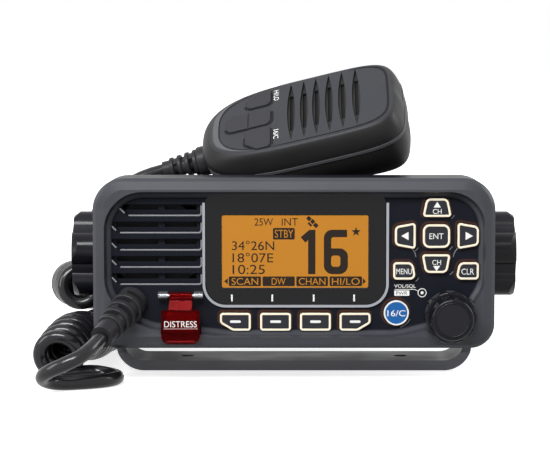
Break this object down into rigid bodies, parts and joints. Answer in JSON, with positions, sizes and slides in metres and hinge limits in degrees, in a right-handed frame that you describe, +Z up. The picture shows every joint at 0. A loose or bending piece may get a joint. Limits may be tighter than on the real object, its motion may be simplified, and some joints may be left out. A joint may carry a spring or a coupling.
{
  "type": "vhf marine radio",
  "caption": "Fixed-mount marine VHF radio with amber display, keypad, volume knob, covered distress key, U bracket with clamp knobs, and a hand microphone on a curly cord.",
  "frame": {"origin": "centre of the bracket's two screw holes, on the underside of its base plate", "axes": "+X to the right as seen from the front, +Y from the front panel to the back, +Z up"},
  "size_m": [0.1995, 0.2069, 0.1239],
  "materials": {
    "panel_plastic": "satin dark grey moulding, lightly textured",
    "trim_silver": "satin silver",
    "lens_black": "polished black window",
    "lcd_amber": "backlit amber display",
    "light_guide": "diffuse white",
    "key_silicone": "matt silicone",
    "circuit_board": "green solder mask",
    "mesh_fabric": "fine black mesh",
    "speaker_steel": "pressed steel",
    "black_rubber": "matt",
    "cast_alloy": "black powder-coated die casting",
    "steel": "zinc plated",
    "brass": "turned",
    "tinned_steel": "tinned sheet",
    "nickel_brass": "nickel plated",
    "key_blue": "satin blue cap",
    "encoder_plastic": "moulded",
    "shaft_alloy": "turned",
    "knob_plastic": "satin black moulding",
    "red_plastic": "gloss red key",
    "clear_plastic": "clear moulding",
    "red_clear": "clear red moulding",
    "bracket_alloy": "black coated",
    "boot_rubber": "satin",
    "cord_jacket": "glossy polyurethane jacket",
    "mic_plastic": "fine texture",
    "mic_band": "satin grey",
    "mic_key_rubber": "matt"
  },
  "bodies": {
    "radio": {"front_panel": "panel_plastic", "window_trim": "trim_silver", "window_lens": "lens_black", "lcd_module": "lcd_amber", "lcd_backlight": "light_guide", "keypad_mat": "key_silicone", "front_board": "circuit_board", "speaker_mesh": "mesh_fabric", "speaker_driver": "speaker_steel", "panel_gasket": "black_rubber", "rear_chassis": "cast_alloy", "panel_screws": "steel", "side_inserts": "brass", "main_board": "circuit_board", "board_modules": "tinned_steel", "antenna_socket": "nickel_brass", "cable_glands": "black_rubber", "encoder_body": "encoder_plastic", "cover_lugs": "clear_plastic", "distress_pin": "steel", "cord_boot_front": "boot_rubber", "cord_lead_front": "cord_jacket", "cord_coil": "cord_jacket", "cord_lead_mic": "cord_jacket"},
    "bracket": {"mounting_bracket": "bracket_alloy", "arm_washers": "black_rubber"},
    "left_clamp": {"knob_left": "knob_plastic", "knob_screw_left": "steel"},
    "right_clamp": {"knob_right": "knob_plastic", "knob_screw_right": "steel"},
    "encoder_carrier": {"encoder_slider": "encoder_plastic"},
    "volume": {"encoder_shaft": "shaft_alloy", "volume_knob": "knob_plastic", "knob_cap": "knob_plastic"},
    "distress_flap": {"distress_cover": "red_clear"},
    "distress_button": {"distress_key": "red_plastic"},
    "key_16_body": {"key_16": "key_blue"},
    "key_up_body": {"key_up": "key_silicone"},
    "key_down_body": {"key_down": "key_silicone"},
    "key_left_body": {"key_left": "key_silicone"},
    "key_right_body": {"key_right": "key_silicone"},
    "key_enter_body": {"key_enter": "key_silicone"},
    "key_menu_body": {"key_menu": "key_silicone"},
    "key_clear_body": {"key_clear": "key_silicone"},
    "key_soft_1_body": {"key_soft_1": "key_silicone"},
    "key_soft_2_body": {"key_soft_2": "key_silicone"},
    "key_soft_3_body": {"key_soft_3": "key_silicone"},
    "key_soft_4_body": {"key_soft_4": "key_silicone"},
    "microphone": {"mic_front_shell": "mic_plastic", "mic_rear_shell": "mic_plastic", "mic_seam_band": "mic_band", "mic_board": "circuit_board", "mic_element": "tinned_steel", "mic_hanger_stud": "mic_plastic", "mic_screws": "steel", "mic_boot": "boot_rubber"},
    "ptt_bar": {"mic_ptt": "mic_band"},
    "mic_hilo_body": {"mic_key_hilo": "mic_key_rubber"},
    "mic_16_body": {"mic_key_16": "mic_key_rubber"},
    "mic_rocker_body": {"mic_rocker": "mic_key_rubber"}
  },
  "joints": [
    {"name": "bracket_tilt", "type": "hinge", "parent": "radio", "child": "bracket", "pos_m": [0, 0, 0.046], "axis": [1, 0, 0], "range_deg": [-15, 30]},
    {"name": "left_clamp_turn", "type": "hinge", "parent": "radio", "child": "left_clamp", "pos_m": [-0.082, 0, 0.046], "axis": [1, 0, 0], "continuous": true},
    {"name": "right_clamp_turn", "type": "hinge", "parent": "radio", "child": "right_clamp", "pos_m": [0.082, 0, 0.046], "axis": [1, 0, 0], "continuous": true},
    {"name": "volume_push", "type": "slide", "parent": "radio", "child": "encoder_carrier", "axis": [0, 1, 0], "range_m": [0, 0.0008], "stiffness_N_per_m": 800},
    {"name": "volume_turn", "type": "hinge", "parent": "encoder_carrier", "child": "volume", "pos_m": [0.0608, -0.049, 0.0266], "axis": [0, -1, 0], "continuous": true},
    {"name": "distress_cover_flip", "type": "hinge", "parent": "radio", "child": "distress_flap", "pos_m": [-0.0441, -0.047, 0.0344], "axis": [-1, 0, 0], "range_deg": [0, 100]},
    {"name": "distress_press", "type": "slide", "parent": "radio", "child": "distress_button", "axis": [0, 1, 0], "range_m": [0, 0.0008], "stiffness_N_per_m": 600},
    {"name": "key_16_press", "type": "slide", "parent": "radio", "child": "key_16_body", "axis": [0, 1, 0], "range_m": [0, 0.0008], "stiffness_N_per_m": 600},
    {"name": "key_up_press", "type": "slide", "parent": "radio", "child": "key_up_body", "axis": [0, 1, 0], "range_m": [0, 0.0008], "stiffness_N_per_m": 600},
    {"name": "key_down_press", "type": "slide", "parent": "radio", "child": "key_down_body", "axis": [0, 1, 0], "range_m": [0, 0.0008], "stiffness_N_per_m": 600},
    {"name": "key_left_press", "type": "slide", "parent": "radio", "child": "key_left_body", "axis": [0, 1, 0], "range_m": [0, 0.0008], "stiffness_N_per_m": 600},
    {"name": "key_right_press", "type": "slide", "parent": "radio", "child": "key_right_body", "axis": [0, 1, 0], "range_m": [0, 0.0008], "stiffness_N_per_m": 600},
    {"name": "key_enter_press", "type": "slide", "parent": "radio", "child": "key_enter_body", "axis": [0, 1, 0], "range_m": [0, 0.0008], "stiffness_N_per_m": 600},
    {"name": "key_menu_press", "type": "slide", "parent": "radio", "child": "key_menu_body", "axis": [0, 1, 0], "range_m": [0, 0.0008], "stiffness_N_per_m": 600},
    {"name": "key_clear_press", "type": "slide", "parent": "radio", "child": "key_clear_body", "axis": [0, 1, 0], "range_m": [0, 0.0008], "stiffness_N_per_m": 600},
    {"name": "key_soft_1_press", "type": "slide", "parent": "radio", "child": "key_soft_1_body", "axis": [0, 1, 0], "range_m": [0, 0.0008], "stiffness_N_per_m": 600},
    {"name": "key_soft_2_press", "type": "slide", "parent": "radio", "child": "key_soft_2_body", "axis": [0, 1, 0], "range_m": [0, 0.0008], "stiffness_N_per_m": 600},
    {"name": "key_soft_3_press", "type": "slide", "parent": "radio", "child": "key_soft_3_body", "axis": [0, 1, 0], "range_m": [0, 0.0008], "stiffness_N_per_m": 600},
    {"name": "key_soft_4_press", "type": "slide", "parent": "radio", "child": "key_soft_4_body", "axis": [0, 1, 0], "range_m": [0, 0.0008], "stiffness_N_per_m": 600},
    {"name": "mic_lift", "type": "slide", "parent": "radio", "child": "microphone", "axis": [0, 0, 1], "range_m": [0, 0.06]},
    {"name": "ptt_press", "type": "slide", "parent": "microphone", "child": "ptt_bar", "axis": [0, -0.8536, -0.521], "range_m": [0, 0.001], "stiffness_N_per_m": 600},
    {"name": "mic_hilo_press", "type": "slide", "parent": "microphone", "child": "mic_hilo_body", "axis": [0.274, 0.5011, -0.8209], "range_m": [0, 0.0007], "stiffness_N_per_m": 600},
    {"name": "mic_16_press", "type": "slide", "parent": "microphone", "child": "mic_16_body", "axis": [0.274, 0.5011, -0.8209], "range_m": [0, 0.0007], "stiffness_N_per_m": 600},
    {"name": "mic_rocker_tilt", "type": "hinge", "parent": "microphone", "child": "mic_rocker_body", "pos_m": [-0.01845, 0.00824, 0.09976], "axis": [0, 0.8536, 0.521], "range_deg": [-3, 3], "stiffness_Nm_per_rad": 0.05}
  ]
}
